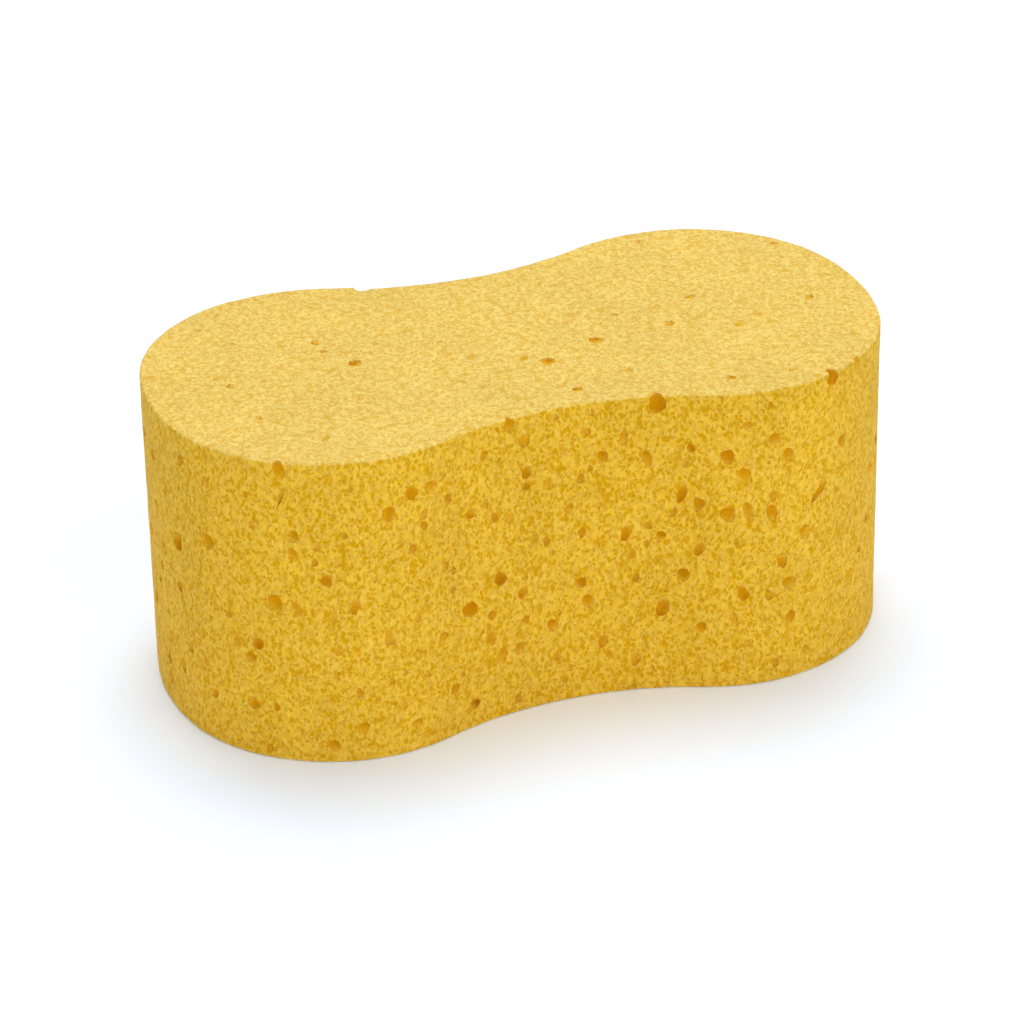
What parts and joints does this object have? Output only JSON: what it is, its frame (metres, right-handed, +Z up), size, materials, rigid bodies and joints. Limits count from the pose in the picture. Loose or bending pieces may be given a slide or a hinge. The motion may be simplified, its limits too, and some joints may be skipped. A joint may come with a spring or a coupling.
{
  "type": "cleaning sponge",
  "caption": "Figure-of-eight block of yellow open-cell cellulose foam with straight die-cut walls and a flat top and base, held at the waist to wipe and wash surfaces.",
  "frame": {"origin": "middle of the flat base, on the surface that the sponge rests on", "axes": "+X along the length of the figure of eight, +Y across it, +Z up through the thickness"},
  "size_m": [0.15, 0.078, 0.066],
  "materials": {
    "cellulose": "dry open-cell foam, matte, with darker pores"
  },
  "bodies": {
    "root": {"sponge": "cellulose"}
  },
  "joints": []
}
